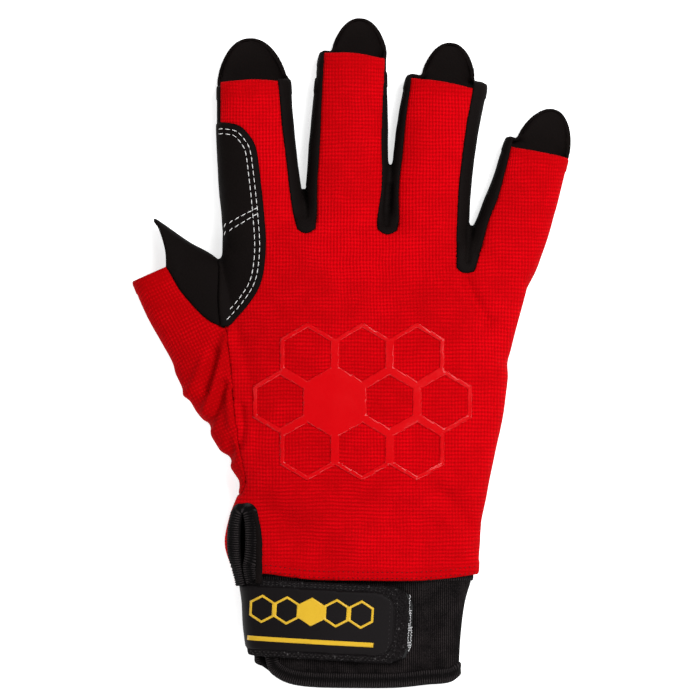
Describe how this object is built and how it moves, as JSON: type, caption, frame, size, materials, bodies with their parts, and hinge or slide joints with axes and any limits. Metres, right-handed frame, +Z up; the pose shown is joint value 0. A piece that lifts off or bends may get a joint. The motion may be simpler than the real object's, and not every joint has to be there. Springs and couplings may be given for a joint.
{
  "type": "climbing glove",
  "caption": "Right-hand climbing glove with a knit back, a leather palm, open finger and thumb ends with leather fronts, an index patch and a strapped cuff.",
  "frame": {"origin": "on the surface that the glove lies on, below the middle of its bounding box", "axes": "+Y to the fingertips, +Z up out of the back of the hand, +X away from the thumb"},
  "size_m": [0.1538, 0.2342, 0.0231],
  "materials": {
    "knit_back": "red woven stretch knit with a fine square grid",
    "leather_palm": "black suede leather",
    "knit_thumb": "red woven stretch knit",
    "leather_thumb": "black suede leather",
    "leather_patch": "black suede leather with white stitching",
    "neoprene_cuff": "black ribbed stretch cloth",
    "ribbed_edge": "black ribbed edging tape",
    "strap_cloth": "black loop-faced strap cloth",
    "hook_tape": "grey hook tape",
    "smooth_label": "smooth black label with a plain yellow print",
    "leather_side": "black suede leather"
  },
  "bodies": {
    "root": {"back_panel": "knit_back", "palm_panel": "leather_palm", "thumb_back": "knit_thumb", "thumb_front": "leather_thumb", "index_patch": "leather_patch", "cuff": "neoprene_cuff", "vent_edge": "ribbed_edge", "hem_edge": "ribbed_edge", "wrist_strap": "strap_cloth", "hook_pad": "hook_tape", "strap_label": "smooth_label", "fourchette_index_middle": "leather_side", "fourchette_middle_ring": "leather_side", "fourchette_ring_little": "leather_side"}
  },
  "joints": []
}
